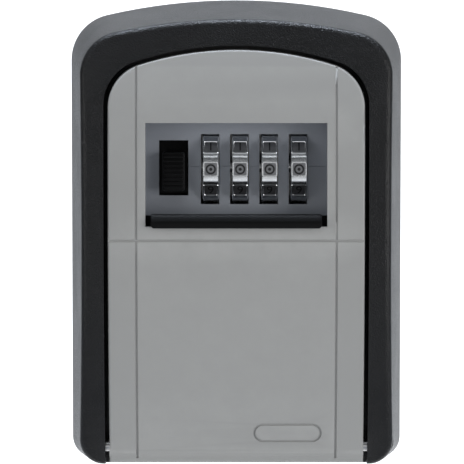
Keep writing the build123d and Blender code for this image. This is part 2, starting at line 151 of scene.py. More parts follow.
def placed(tree, kind, inputs=None, **settings):
    """A node with its settings made and its inputs linked from sockets or set to plain values."""
    node = tree.nodes.new(kind)
    for name, value in settings.items():
        setattr(node, name, value)
    for label, value in (inputs or {}).items():
        if isinstance(value, bpy.types.NodeSocket):
            tree.links.new(value, node.inputs[label])
        else:
            node.inputs[label].default_value = value
    return node


def math_node(tree, operation, *operands, clamp=False):
    """The result of a math node whose operands are sockets or plain numbers."""
    return placed(
        tree, "ShaderNodeMath", dict(enumerate(operands)), operation=operation, use_clamp=clamp).outputs[0]


def object_place(tree):
    return placed(tree, "ShaderNodeTexCoord").outputs["Object"]


# ---------------------------------------------------------------- shader groups


def group_tree(name, inputs, *outputs):
    """A shader node group with float inputs {name: default} and float outputs."""
    tree = bpy.data.node_groups.new(name, "ShaderNodeTree")
    for label, value in inputs.items():
        socket = tree.interface.new_socket(name=label, in_out="INPUT", socket_type="NodeSocketFloat")
        socket.default_value = value
    for label in outputs:
        tree.interface.new_socket(name=label, in_out="OUTPUT", socket_type="NodeSocketFloat")
    return tree, tree.nodes.new("NodeGroupInput").outputs, tree.nodes.new("NodeGroupOutput").inputs


def noise(tree, vector, size, detail, roughness):
    """Noise whose features are about size metres across."""
    return placed(tree, "ShaderNodeTexNoise", {
        "Vector": vector, "Scale": math_node(tree, "DIVIDE", 1.0, size),
        "Detail": detail, "Roughness": roughness,
    }).outputs["Fac"]


def make_grain():
    """Grain of a coat or a moulding: a height for bump, and a broad mottle from 0 to 1."""
    tree, entry, out = group_tree(
        "surface_grain", {"Grain Size": 0.0004, "Mottle Size": 0.02}, "Height", "Mottle")
    place = object_place(tree)
    pits = placed(tree, "ShaderNodeTexVoronoi", {
        "Vector": place, "Scale": math_node(tree, "DIVIDE", 1.0, entry["Grain Size"])})
    grain = noise(tree, place, entry["Grain Size"], 3.0, 0.6)
    height = math_node(tree, "MULTIPLY_ADD", pits.outputs["Distance"], 0.5, grain)
    tree.links.new(height, out["Height"])
    tree.links.new(noise(tree, place, entry["Mottle Size"], 4.0, 0.55), out["Mottle"])
    return tree


def make_brushing():
    """Fine lines along X, as a grinding belt leaves on plate: a height, and a streak mask."""
    tree, entry, out = group_tree(
        "brushed_lines", {"Line Size": 0.00015, "Stretch": 30.0}, "Height", "Streak")
    parts = placed(tree, "ShaderNodeSeparateXYZ", {0: object_place(tree)}).outputs
    stretched = placed(tree, "ShaderNodeCombineXYZ", {
        "X": math_node(tree, "DIVIDE", parts["X"], entry["Stretch"]), "Y": parts["Y"], "Z": parts["Z"]})
    lines = noise(tree, stretched.outputs[0], entry["Line Size"], 2.0, 0.6)
    for label in ("Height", "Streak"):
        tree.links.new(lines, out[label])
    return tree


def make_wear():
    """Rubbed edges and settled dust: masks from 0 to 1."""
    tree, entry, out = group_tree(
        "handling_wear", {"Edge Amount": 0.5, "Dust Amount": 0.3, "Patch Size": 0.006}, "Edge", "Dust")
    geometry = placed(tree, "ShaderNodeNewGeometry").outputs
    patch = noise(tree, object_place(tree), entry["Patch Size"], 5.0, 0.65)
    convex = math_node(tree, "SUBTRACT", geometry["Pointiness"], CONVEX_START)
    convex = math_node(tree, "MULTIPLY", convex, CONVEX_GAIN, clamp=True)
    facing = placed(tree, "ShaderNodeSeparateXYZ", {0: geometry["Normal"]}).outputs["Z"]
    upward = math_node(tree, "POWER", math_node(tree, "MAXIMUM", facing, 0.0), 2.0)
    for label, reach in (("Edge", convex), ("Dust", upward)):
        patchy = math_node(tree, "MULTIPLY", reach, patch)
        mask = math_node(tree, "MULTIPLY", patchy, entry[label + " Amount"], clamp=True)
        tree.links.new(mask, out[label])
    return tree


GROUPS = {"grain": make_grain, "brushing": make_brushing, "wear": make_wear}
BUILT_GROUPS = {}


def placed_group(tree, name, **values):
    """The outputs of one of the shared groups, placed in tree with its own values."""
    if name not in BUILT_GROUPS:
        BUILT_GROUPS[name] = GROUPS[name]()
    inputs = {label.replace("_", " ").title(): value for label, value in values.items()}
    return placed(tree, "ShaderNodeGroup", inputs, node_tree=BUILT_GROUPS[name]).outputs


# ---------------------------------------------------------------- materials


def surface(name, roughness, **sockets):
    """A new material with plain values on its shader's own sockets."""
    material = bpy.data.materials.new(name)
    material.use_nodes = True
    shader = material.node_tree.nodes["Principled BSDF"]
    shader.inputs["Roughness"].default_value = roughness
    for label, value in sockets.items():
        shader.inputs[label].default_value = value
    return material, material.node_tree, shader


def overlaid(tree, colour, over, mask):
    """A colour with another laid over it where mask is 1."""
    return placed(tree, "ShaderNodeMix", {
        "Factor": mask, "A": colour, "B": (*over, 1.0)}, data_type="RGBA").outputs["Result"]


def shaded(colour, factor):
    return tuple(min(1.0, part * factor) for part in colour)


def layered(made, pattern, base, shades, rough, bump, wear, dust, rubbed=None):
    """Varies a surface by a pattern's height and mask, and lays rubbed edges and dust over it.

    The shades are factors of the base colour. Shades and roughness run from low to high, bump is
    a depth in metres and a strength, and wear is the edge amount, dust amount and patch size.
    """
    material, tree, shader = made
    height, mask = pattern
    ramp = placed(tree, "ShaderNodeValToRGB", {"Fac": mask})
    for element, place, factor in zip(ramp.color_ramp.elements, (0.3, 0.7), shades):
        element.position = place
        element.color = (*shaded(base, factor), 1.0)
    worn = placed_group(tree, "wear", edge_amount=wear[0], dust_amount=wear[1], patch_size=wear[2])
    colour = ramp.outputs["Color"]
    if rubbed:
        colour = overlaid(tree, colour, rubbed, worn["Edge"])
    tree.links.new(overlaid(tree, colour, dust, worn["Dust"]), shader.inputs["Base Color"])
    span = placed(tree, "ShaderNodeMapRange", {"Value": mask, "To Min": rough[0], "To Max": rough[1]})
    tree.links.new(span.outputs["Result"], shader.inputs["Roughness"])
    relief = placed(tree, "ShaderNodeBump", {"Distance": bump[0], "Strength": bump[1], "Height": height})
    tree.links.new(relief.outputs["Normal"], shader.inputs["Normal"])
    return material


def charcoal_coat():
    made = surface("charcoal_powder_coat", 0.5, IOR=1.37)
    grain = placed_group(made[1], "grain", grain_size=sizes().coat_grain, mottle_size=0.012)
    return layered(
        made, grain, colours().coat, shades=(0.86, 1.18), rough=(0.27, 0.37), bump=(0.00015, 1.0),
        wear=(0.25, 0.12, 0.004), dust=(0.20, 0.195, 0.18), rubbed=(0.12, 0.12, 0.12))


def silver_paint():
    made = surface("silver_grey_paint", 0.42, IOR=1.45)
    grain = placed_group(made[1], "grain", grain_size=0.00011, mottle_size=0.03)
    return layered(
        made, grain, colours().door, shades=(0.988, 1.012), rough=(0.40, 0.50), bump=(0.00001, 0.6),
        wear=(0.35, 0.10, 0.005), dust=(0.42, 0.41, 0.39), rubbed=(0.62, 0.62, 0.60))


def moulded(name, base, roughness, grain_size=0.0002, depth=0.00002, dust=0.1, ior=1.49):
    """A moulded plastic with a fine spark-eroded grain."""
    made = surface(name, roughness, IOR=ior)
    grain = placed_group(made[1], "grain", grain_size=grain_size, mottle_size=0.008)
    return layered(
        made, grain, base, shades=(0.97, 1.03), rough=(roughness - 0.02, roughness + 0.03),
        bump=(depth, 0.7), wear=(0.0, dust, 0.003), dust=(0.25, 0.245, 0.23))


def metal(name, base, low, high, line=0.00015, depth=0.000006, stretch=30.0, cast=False):
    """Bare or plated metal, brushed or as cast."""
    made = surface(name, low, Metallic=1.0)
    if cast:
        pattern = placed_group(made[1], "grain", grain_size=line, mottle_size=0.005)
    else:
        pattern = placed_group(made[1], "brushing", line_size=line, stretch=stretch)
    return layered(
        made, pattern, base, shades=(0.84, 1.08), rough=(low, high), bump=(depth, 0.6),
        wear=(0.6, 0.06, 0.003), dust=(0.22, 0.215, 0.20), rubbed=shaded(base, 1.3))


FINISHES = {
    "dark_casting": charcoal_coat,
    "silver_paint": silver_paint,
    "grey_plastic": lambda: moulded("slate_moulding", colours().dial, 0.46),
    "black_plastic": lambda: moulded("black_moulding", colours().black, 0.36, dust=0.02, ior=1.22),
    "rubber": lambda: moulded("black_rubber", (0.018, 0.018, 0.018), 0.72, 0.0003, 0.00004),
    "zinc_plate": lambda: metal("zinc_plating", (0.56, 0.57, 0.55), 0.26, 0.42, 0.0003, 0.00001, 6.0),
    "steel": lambda: metal("ground_steel", (0.50, 0.50, 0.50), 0.22, 0.36),
    "wheel_metal": lambda: metal("wheel_plating", colours().wheel, 0.17, 0.30, 0.0004, stretch=4.0),
    "brass": lambda: metal("turned_brass", (0.66, 0.47, 0.20), 0.24, 0.36, 0.0002, stretch=3.0),
    "cast_zinc": lambda: metal(
        "bare_zinc_casting", (0.33, 0.34, 0.35), 0.42, 0.58, 0.00035, 0.00003, cast=True),
    "field": lambda: metal("number_field", (0.22, 0.22, 0.23), 0.34, 0.48, 0.0004, stretch=4.0),
    "ink": lambda: moulded("number_ink", (0.004, 0.004, 0.004), 0.45, dust=0.0),
}
BUILT_FINISHES = {}


def finish_named(slot):
    if slot not in BUILT_FINISHES:
        BUILT_FINISHES[slot] = FINISHES[slot]()
    return BUILT_FINISHES[slot]


def slot_of(node):
    parts = frame["record"]["subparts"]
    return next(part["material_slot"] for part in parts if part["node"] == node)


def body_of(node):
    return NODES[node]["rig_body"]


# ---------------------------------------------------------------- mesh tools


def linked(name, mesh):
    """An object for a mesh, in the scene, at the origin."""
    piece = bpy.data.objects.new(name, mesh)
    bpy.context.scene.collection.objects.link(piece)
    return piece


def mesh_of(name, bm):
    """A mesh from a bmesh, which is freed."""
    mesh = bpy.data.meshes.new(name)
    bm.to_mesh(mesh)
    bm.free()
    return mesh


def from_bmesh(name, bm):
    """A mesh with its doubles merged and its faces turned outwards."""
    bmesh.ops.remove_doubles(bm, verts=bm.verts, dist=1e-7)
    bmesh.ops.recalc_face_normals(bm, faces=bm.faces)
    return mesh_of(name, bm)


def smoothed(mesh, angle=SHARP):
    """Smooth shading that breaks at edges sharper than angle."""
    mesh.shade_smooth()
    mesh.set_sharp_from_angle(angle=angle)
    return mesh


def plain_copy(piece):
    """The mesh of a piece with its modifiers or its text turned into faces."""
    graph = bpy.context.evaluated_depsgraph_get()
    return bpy.data.meshes.new_from_object(piece.evaluated_get(graph), depsgraph=graph)


def applied(piece):
    """Turns a piece's modifiers into plain mesh and removes them."""
    mesh = plain_copy(piece)
    piece.modifiers.clear()
    piece.data = mesh
    mesh.name = piece.name
    return piece


def bevelled(piece, width, angle, corners="MITER_SHARP"):
    """Rounds a piece's edges that are sharper than angle."""
    bevel = piece.modifiers.new("ease", "BEVEL")
    bevel.width, bevel.segments = width, 2
    bevel.limit_method, bevel.angle_limit = "ANGLE", angle
    bevel.miter_outer = corners
    return applied(piece)


def coated(piece, slot):
    piece.data.materials.clear()
    piece.data.materials.append(finish_named(slot))
    return piece


def settled(piece, node):
    """A finished piece that stands for a node: it rides on the node's body, and the node is hidden."""
    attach(piece, body_of(node))
    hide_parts(node)
    return piece


def merged(node):
    """A bmesh of a node's own triangles with their shared corners joined, which keeps its normals."""
    source = NODES[node].data
    normals = [corner.vector.copy() for corner in source.corner_normals]
    bm = bmesh.new()
    bm.from_mesh(source)
    for layer in list(bm.loops.layers.float_vector):
        bm.loops.layers.float_vector.remove(layer)
    kept = bm.loops.layers.float_vector.new("true_normal")
    for face in bm.faces:
        for loop in face.loops:
            loop[kept] = normals[loop.index]
    bmesh.ops.remove_doubles(bm, verts=bm.verts, dist=WELD)
    return bm


def plain_mesh(name, bm):
    """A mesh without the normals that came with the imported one."""
    mesh = mesh_of(name, bm)
    for attribute in [a for a in mesh.attributes if a.name == "custom_normal"]:
        mesh.attributes.remove(attribute)
    return mesh


def carried(node):
    """A joined copy of a node that keeps its true normals, for castings with their own fillets."""
    mesh = plain_mesh(node + "_piece", merged(node))
    normals = [item.vector.copy() for item in mesh.attributes["true_normal"].data]
    mesh.attributes.remove(mesh.attributes["true_normal"])
    mesh.shade_smooth()
    mesh.normals_split_custom_set(normals)
    piece = coated(linked(node + "_piece", mesh), slot_of(node))
    return settled(piece, node)


def flattened(mesh):
    """Gives every corner that touches a large flat side that side's direction."""
    step = 0.05 * MM
    sides = [
        (*(round(part, 3) for part in face.normal), round(face.normal.dot(face.center) / step))
        for face in mesh.polygons
    ]
    area = {}
    for face, side in zip(mesh.polygons, sides):
        area[side] = area.get(side, 0.0) + face.area
    touching = [[] for _ in mesh.vertices]
    for face, side in zip(mesh.polygons, sides):
        if area[side] > FLAT_SIDE:
            for vertex in face.vertices:
                touching[vertex].append(face.normal)
    normals = [corner.vector.copy() for corner in mesh.corner_normals]
    for face, side in zip(mesh.polygons, sides):
        for corner, vertex in zip(face.loop_indices, face.vertices):
            if area[side] > FLAT_SIDE:
                normals[corner] = face.normal.copy()
            elif touching[vertex]:
                nearest = max(touching[vertex], key=face.normal.dot)
                if nearest.dot(face.normal) > FLAT_REACH:
                    normals[corner] = nearest.copy()
    mesh.normals_split_custom_set(normals)


def eased(node, width=None, flat=False):
    """A joined copy of a flat-sided node with its sharp edges slightly rounded."""
    bm = merged(node)
    bm.loops.layers.float_vector.remove(bm.loops.layers.float_vector["true_normal"])
    bmesh.ops.dissolve_limit(bm, angle_limit=math.radians(0.05), verts=bm.verts, edges=bm.edges)
    bmesh.ops.triangulate(bm, faces=bm.faces)
    piece = linked(node + "_piece", plain_mesh(node + "_piece", bm))
    bevelled(piece, width or sizes().ease, math.radians(50), "MITER_ARC")
    smoothed(piece.data)
    if flat:
        flattened(piece.data)
    else:
        weighed = piece.modifiers.new("flat_faces", "WEIGHTED_NORMAL")
        weighed.mode, weighed.weight, weighed.keep_sharp = "FACE_AREA", 50, True
        applied(piece)
    coated(piece, slot_of(node))
    return settled(piece, node)


def loop_rings(bm, rings, closed=False):
    """Joins rings of points, all of one length, into a skin: capped, or closed from last to first."""
    made = [[bm.verts.new(point) for point in ring] for ring in rings]
    following = made[1:] + made[:1] if closed else made[1:]
    for lower, upper in zip(made, following):
        for k in range(len(lower)):
            after = (k + 1) % len(lower)
            bm.faces.new((lower[k], lower[after], upper[after], upper[k]))
    if not closed:
        bm.faces.new(made[0])
        bm.faces.new(list(reversed(made[-1])))


def circle(radius, y, steps):
    """Points round a circle that stands in the XZ plane."""
    turns = [2 * math.pi * k / steps for k in range(steps)]
    return [(radius * math.cos(turn), y, radius * math.sin(turn)) for turn in turns]


def rounded_square(half_x, half_z, corner, steps=4):
    """Points round a rectangle with round corners, in two dimensions."""
    points = []
    for quarter, (sx, sz) in enumerate(((1, 1), (-1, 1), (-1, -1), (1, -1))):
        cx, cz = sx * (half_x - corner), sz * (half_z - corner)
        for step in range(steps + 1):
            turn = math.pi / 2 * (quarter + step / steps)
            points.append((cx + corner * math.cos(turn), cz + corner * math.sin(turn)))
    return points


def soft_block(bm, low, high, corner, ease):
    """A block between two corners, with round upright edges along Y and an eased front and back."""
    middle = [(a + b) / 2 for a, b in zip(low, high)]
    half = [(b - a) / 2 for a, b in zip(low, high)]

    def ring(y, inset):
        points = rounded_square(half[0] - inset, half[2] - inset, max(corner - inset, 1e-5))
        return [(middle[0] + x, y, middle[2] + z) for x, z in points]

    rings = [ring(low[1], ease), ring(low[1] + ease * 0.3, ease * 0.3), ring(low[1] + ease, 0.0)]
    rings += [ring(high[1] - ease, 0.0), ring(high[1] - ease * 0.3, ease * 0.3), ring(high[1], ease)]
    loop_rings(bm, rings)


# ---------------------------------------------------------------- geometry node trees


def modifier_tree(name, inputs):
    """A geometry node tree with the inputs {name: (socket type, default)}, and their sockets."""
    tree = bpy.data.node_groups.new(name, "GeometryNodeTree")
    tree.interface.new_socket(name="Geometry", in_out="INPUT", socket_type="NodeSocketGeometry")
    for label, (kind, value) in {**inputs, "Material": ("Material", None)}.items():
        socket = tree.interface.new_socket(name=label, in_out="INPUT", socket_type="NodeSocket" + kind)
        if value is not None:
            socket.default_value = value
    tree.interface.new_socket(name="Geometry", in_out="OUTPUT", socket_type="NodeSocketGeometry")
    return tree, tree.nodes.new("NodeGroupInput").outputs


def ended(tree, geometry, entry):
    """Realize Instances and Set Material, which close every tree."""
    real = placed(tree, "GeometryNodeRealizeInstances", {0: geometry})
    painted = placed(tree, "GeometryNodeSetMaterial", {
        "Geometry": real.outputs[0], "Material": entry["Material"]})
    placed(tree, "NodeGroupOutput", {0: painted.outputs[0]})
    return tree


def copied(tree, source, points, **settings):
    """Copies of an object's geometry on points."""
    shape = placed(tree, "GeometryNodeObjectInfo", {"Object": source}, transform_space="ORIGINAL")
    return placed(tree, "GeometryNodeInstanceOnPoints", {
        "Points": points, "Instance": shape.outputs["Geometry"], **settings}).outputs[0]


def vector(tree, **parts):
    return placed(tree, "ShaderNodeCombineXYZ", parts).outputs[0]


def moved(tree, geometry, by):
    return placed(tree, "GeometryNodeTransform", {"Geometry": geometry, "Translation": by}).outputs[0]


def turned_ring_tree():
    """Sets copies of two pieces round the X axis, joined with the barrel they stand on."""
    tree, entry = modifier_tree("numbers_round_barrel", {
        "Number Face": ("Object", None),
        "Finger Ridge": ("Object", None),
        "Count": ("Int", DIGITS),
        "Middle": ("Vector", (0, 0, 0)),
    })
    step = math_node(tree, "DIVIDE", 2 * math.pi, entry["Count"])
    index = placed(tree, "GeometryNodeInputIndex").outputs[0]
    join = placed(tree, "GeometryNodeJoinGeometry")
    for label, lag in (("Number Face", 0.0), ("Finger Ridge", 0.5)):
        points = placed(tree, "GeometryNodePoints", {"Count": entry["Count"]}).outputs[0]
        turn = math_node(tree, "MULTIPLY", math_node(tree, "ADD", index, lag), step)
        copies = copied(tree, entry[label], points, Rotation=vector(tree, X=turn))
        tree.links.new(copies, join.inputs[0])
    tree.links.new(entry["Geometry"], join.inputs[0])
    return ended(tree, moved(tree, join.outputs[0], entry["Middle"]), entry)


def rib_row_tree():
    """Sets a row of ribs up the face of the piece it is given."""
    tree, entry = modifier_tree("ribs_up_face", {
        "Rib": ("Object", None),
        "Ribs": ("Int", 8),
        "Pitch": ("Float", 0.001),
        "First": ("Vector", (0, 0, 0)),
    })
    line = placed(tree, "GeometryNodeMeshLine", {
        "Count": entry["Ribs"], "Start Location": entry["First"], "Offset": vector(tree, Z=entry["Pitch"])})
    join = placed(tree, "GeometryNodeJoinGeometry")
    for geometry in (copied(tree, entry["Rib"], line.outputs[0]), entry["Geometry"]):
        tree.links.new(geometry, join.inputs[0])
    return ended(tree, join.outputs[0], entry)


def point_copies_tree():
    """Sets a copy of a piece on every point, such as a screw in each hole."""
    tree, entry = modifier_tree("screws_in_holes", {
        "Screw": ("Object", None),
        "Size": ("Float", 1.0),
        "Turn": ("Vector", (0, 0, 0)),
    })
    index = placed(tree, "GeometryNodeInputIndex").outputs[0]
    spin = vector(tree, Y=math_node(tree, "MULTIPLY", index, SCREW_STEP))
    total = placed(tree, "ShaderNodeVectorMath", {0: spin, 1: entry["Turn"]}).outputs[0]
    copies = copied(tree, entry["Screw"], entry["Geometry"], Rotation=total, Scale=entry["Size"])
    return ended(tree, copies, entry)


def coil_tree():
    """A coil of round wire standing on its given foot."""
    tree, entry = modifier_tree("wire_coil", {
        "Turns": ("Float", 8.0),
        "Radius": ("Float", 0.002),
        "Height": ("Float", 0.01),
        "Wire Radius": ("Float", 0.0002),
        "Foot": ("Vector", (0, 0, 0)),
    })
    coil = placed(tree, "GeometryNodeCurveSpiral", {
        "Resolution": 28, "Rotations": entry["Turns"], "Start Radius": entry["Radius"],
        "End Radius": entry["Radius"], "Height": entry["Height"]})
    ring = placed(tree, "GeometryNodeCurvePrimitiveCircle", {
        "Resolution": 10, "Radius": entry["Wire Radius"]})
    wire = placed(tree, "GeometryNodeCurveToMesh", {
        "Curve": coil.outputs[0], "Profile Curve": ring.outputs[0], "Fill Caps": True})
    return ended(tree, moved(tree, wire.outputs[0], entry["Foot"]), entry)


TREES = {}


def grown(piece, make_tree, values):
    """Runs a geometry node tree on a piece with named values and keeps the plain mesh."""
    if make_tree not in TREES:
        TREES[make_tree] = make_tree()
    tree = TREES[make_tree]
    modifier = piece.modifiers.new(tree.name, "NODES")
    modifier.node_group = tree
    sockets = {
        item.name: item.identifier
        for item in tree.interface.items_tree if item.item_type == "SOCKET" and item.in_out == "INPUT"
    }
    for label, value in values.items():
        modifier[sockets[label]] = value
    applied(piece)
    for face in piece.data.polygons:
        face.material_index = 0
    piece.data.materials.clear()
    piece.data.materials.append(values["Material"])
    return piece


def dropped(*pieces):
    """Removes the pieces that were only copied from."""
    for piece in pieces:
        bpy.data.objects.remove(piece)


# ---------------------------------------------------------------- pieces


class LOCKBOX_OT_housing(bpy.types.Operator):
    """The housing casting and the rubber parts on it"""

    bl_idname = "lock_box.housing"
    bl_label = "Housing"

    def execute(self, context):
        carried("housing")
        eased("wall_pad", 0.2 * MM, flat=True)
        eased("door_seal", 0.3 * MM)
        return {"FINISHED"}


class LOCKBOX_OT_door(bpy.types.Operator):
    """The door casting and the plate behind its shutter"""

    bl_idname = "lock_box.door"
    bl_label = "Door"

    def execute(self, context):
        carried("door_panel")
        eased("shutter_guide", 0.12 * MM, flat=True)
        return {"FINISHED"}


class LOCKBOX_OT_dial(bpy.types.Operator):
    """The slate plate behind the window"""

    bl_idname = "lock_box.dial"
    bl_label = "Dial plate"

    def execute(self, context):
        eased("dial_plate", 0.1 * MM, flat=True)
        return {"FINISHED"}


def wheel_axis():
    return Vector(JOINTS["wheel_1_turn"]["pos_m"])


def wheel_span(n):
    """Lowest and highest X of a wheel's rim, without its hub, and its outer radius."""
    low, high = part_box(f"number_wheel_{n}")
    disc_low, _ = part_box(f"code_disc_{n}")
    return low.x, disc_low.x, (high.z - low.z) / 2


def barrel_mesh(width, radius, bore):
    """The turned barrel of a wheel, about the X axis: bored, with eased shoulders."""
    bm = bmesh.new()
    half, ease, steps = width / 2, 0.3 * MM, 80
    profile = [
        (-half, bore), (-half, radius - ease), (-half + ease, radius),
        (half - ease, radius), (half, radius - ease), (half, bore),
    ]
    turns = [2 * math.pi * k / steps for k in range(steps)]
    loop_rings(bm, [
        [(x, -r * math.cos(turn), r * math.sin(turn)) for turn in turns] for x, r in profile
    ], closed=True)
    return from_bmesh("wheel_barrel", bm)


def number_face_mesh(wide, high, foot, top):
    """A face with a raised rim and a sunk field, facing -Y at radius top from the axis."""
    bm = bmesh.new()
    corner = 0.55 * MM
    steps = [
        (0.0, -foot), (0.0, -top + 0.12 * MM), (0.10 * MM, -top),
        (0.34 * MM, -top), (0.46 * MM, -top + FIELD_DEEP),
    ]
    rings = [
        [(x, y, z) for x, z in rounded_square(wide / 2 - inset, high / 2 - inset, corner - inset * 0.6)]
        for inset, y in steps
    ]
    loop_rings(bm, rings)
    return from_bmesh("number_face", bm)


def field_mesh(wide, high):
    """The thin dark plate that sits in a number face inside its rim, darker than the rim."""
    bm = bmesh.new()
    loop_rings(bm, [
        [(x, y, z) for x, z in rounded_square(wide / 2, high / 2, 0.3 * MM)]
        for y in (-0.015 * MM, 0.02 * MM)
    ])
    return from_bmesh("number_field", bm)


def ridge_mesh(width, half, foot, top):
    """A crowned finger ridge along X, facing -Y, whose ends draw in."""
    bm = bmesh.new()
    crown = [(-half, 0.0), (-half, 0.76), (-half * 0.94, 0.845), (-half * 0.16, 0.992), (0.0, 1.0)]
    crown += [(-z, h) for z, h in reversed(crown[:-1])]
    end, inner, drawn = width / 2, width / 2 - 0.2 * MM, 0.25 * MM
    loop_rings(bm, [
        [(x, -(foot + (top - shrink - foot) * h), z * (1 - shrink / (2 * half))) for z, h in crown]
        for x, shrink in ((-end, drawn), (-inner, 0.0), (inner, 0.0), (end, drawn))
    ])
    return from_bmesh("finger_ridge", bm)


def digit_mesh(digit, high, thick):
    """A number standing in the XZ plane, facing -Y. The zero is a ring with a dot."""
    bm = bmesh.new()
    if digit == 0:
        for outer, inner in ((high * 0.52, high * 0.34), (high * 0.16, 0.0)):
            ring_or_dot(bm, outer, inner, thick)
        return from_bmesh("digit_0", bm)
    curve = bpy.data.curves.new(f"digit_{digit}", "FONT")
    curve.body = str(digit)
    curve.align_x, curve.align_y = "CENTER", "CENTER"
    curve.size = high * 1.36
    curve.extrude = thick / 2
    curve.resolution_u = 4
    holder = linked("digit_text", curve)
    mesh = plain_copy(holder)
    dropped(holder)
    mesh.transform(Matrix.Rotation(math.pi / 2, 4, "X"))
    bm.from_mesh(mesh)
    return from_bmesh(f"digit_{digit}", bm)


def ring_or_dot(bm, outer, inner, thick, steps=32):
    """A flat ring, or a disc where inner is 0, standing in the XZ plane."""
    front, back = -thick / 2, thick / 2
    corners = [(outer, front), (outer, back)]
    if inner:
        corners = [(inner, back), (inner, front)] + corners
    loop_rings(bm, [circle(radius, y, steps) for radius, y in corners], closed=bool(inner))


def joined(name, meshes):
    """One mesh from several that are already in place."""
    bm = bmesh.new()
    for mesh in meshes:
        bm.from_mesh(mesh)
    return mesh_of(name, bm)


class LOCKBOX_OT_wheels(bpy.types.Operator):
    """The four number wheels with their ridges, faces and inked numbers"""

    bl_idname = "lock_box.wheels"
    bl_label = "Number wheels"

    def execute(self, context):
        size = sizes()
        for n in WHEELS:
            left, right, radius = wheel_span(n)
            width, middle = right - left, (left + right) / 2
            face_r, floor_r = radius - 0.30 * MM, radius - 1.35 * MM
            centre = Vector((middle, wheel_axis().y, wheel_axis().z))
            face = linked("face_master", number_face_mesh(
                size.face_wide, size.face_high, floor_r - 0.4 * MM, face_r))
            ridge = linked("ridge_master", ridge_mesh(width, size.ridge_half, floor_r - 0.4 * MM, radius))
            piece = linked(f"number_wheel_{n}_piece", barrel_mesh(width, floor_r, 1.55 * MM))
            grown(piece, turned_ring_tree, {
                "Number Face": face, "Finger Ridge": ridge, "Count": DIGITS,
                "Middle": centre, "Material": finish_named("wheel_metal"),
            })
            dropped(face, ridge)
            smoothed(piece.data)
            settled(piece, f"number_wheel_{n}")
            self.ink(n, centre, face_r - FIELD_DEEP)
        return {"FINISHED"}

    def ink(self, n, centre, radius):
        """The wheel's darkened fields and its inked numbers, which ride with it."""
        size = sizes()
        fields, numbers = [], []
        for digit in range(DIGITS):
            turn = Matrix.Rotation(-2 * math.pi * digit / DIGITS, 4, "X")
            place = Matrix.Translation(centre) @ turn @ Matrix.Translation((0, -radius, 0))
            field = field_mesh(size.face_wide - 0.94 * MM, size.face_high - 0.94 * MM)
            number = digit_mesh(digit, size.digit_high, 0.06 * MM)
            for mesh, group in ((field, fields), (number, numbers)):
                mesh.transform(place)
                group.append(mesh)
        for name, meshes, finish, slot in (
            (f"wheel_{n}_fields", fields, "field", "wheel_metal"),
            (f"wheel_{n}_numbers", numbers, "ink", "black_plastic"),
        ):
            piece = coated(linked(name, joined(name, meshes)), finish)
            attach(piece, f"wheel_{n}")


class LOCKBOX_OT_slide(bpy.types.Operator):
    """The ribbed release slide"""

    bl_idname = "lock_box.slide"
    bl_label = "Release slide"

    def execute(self, context):
        size = sizes()
        low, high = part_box("thumb_slider")
        middle, front = (low.x + high.x) / 2, low.y
        pad_low, pad_high, pad_half, pad_back = 13.1 * MM, 22.7 * MM, 2.75 * MM, -32.35 * MM
        neck_low, neck_high, neck_half, neck_front = 14.4 * MM, 20.4 * MM, 2.4 * MM, -32.6 * MM
        flange_front, flange_back = -30.2 * MM, -29.4 * MM
        rib_half, rib_rise, rib_root = 0.27 * MM, 0.62 * MM, 0.3 * MM
        bm = bmesh.new()
        soft_block(
            bm, (middle - pad_half, front + 0.45 * MM, pad_low), (middle + pad_half, pad_back, pad_high),
            0.5 * MM, 0.25 * MM)
        soft_block(
            bm, (middle - neck_half, neck_front, neck_low), (middle + neck_half, high.y, neck_high),
            0.3 * MM, 0.1 * MM)
        soft_block(
            bm, (low.x, flange_front, low.z), (high.x, flange_back, high.z), 0.4 * MM, 0.1 * MM)
        piece = linked("release_slide", from_bmesh("release_slide", bm))
        rib_bm = bmesh.new()
        rib_end = pad_half - 0.35 * MM
        soft_block(
            rib_bm, (-rib_end, -rib_rise, -rib_half), (rib_end, rib_root, rib_half), 0.12 * MM, 0.14 * MM)
        rib = linked("rib_master", from_bmesh("grip_rib", rib_bm))
        first = (pad_low + pad_high) / 2 - (size.grip_ribs - 1) / 2 * size.grip_pitch
        grown(piece, rib_row_tree, {
            "Rib": rib, "Ribs": size.grip_ribs, "Pitch": size.grip_pitch,
            "First": (middle, front + rib_rise, first), "Material": finish_named("black_plastic"),
        })
        dropped(rib)
        smoothed(piece.data)
        settled(piece, "thumb_slider")
        return {"FINISHED"}


class LOCKBOX_OT_shutter(bpy.types.Operator):
    """The weather shutter with its chamfered thumb lip"""

    bl_idname = "lock_box.shutter"
    bl_label = "Weather shutter"

    def execute(self, context):
        low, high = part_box("weather_shutter")
        plate_front, plate_top = -38.0 * MM, 7.2 * MM
        neck_low, neck_high = (-21.1 * MM, -42.5 * MM, 5.0 * MM), (21.1 * MM, -37.4 * MM, 7.6 * MM)
        bm = bmesh.new()
        soft_block(bm, (low.x, plate_front, low.z), (high.x, high.y, plate_top), 0.8 * MM, 0.12 * MM)
        soft_block(bm, neck_low, neck_high, 0.2 * MM, 0.1 * MM)
        self.lip(bm, 21.15 * MM, low.y)
        piece = linked("weather_shutter_piece", from_bmesh("weather_shutter", bm))
        bevelled(piece, 0.12 * MM, math.radians(28))
        coated(piece, "black_plastic")
        smoothed(piece.data)
        settled(piece, "weather_shutter")
        return {"FINISHED"}

    def lip(self, bm, half, front):
        """A bar along X: upright below, leaning back above, with its lower corners raised."""
        corner, back, foot, shoulder, top = 0.55 * MM, -42.15 * MM, 4.55 * MM, 6.3 * MM, 7.7 * MM
        rings = []
        for x, raised in ((-half, corner), (-half + corner, 0.0), (half - corner, 0.0), (half, corner)):
            section = [
                (back, foot + raised), (front, foot + raised), (front, shoulder),
                (front + 1.0 * MM, top), (back, top),
            ]
            rings.append([(x, y, z) for y, z in section])
        loop_rings(bm, rings)


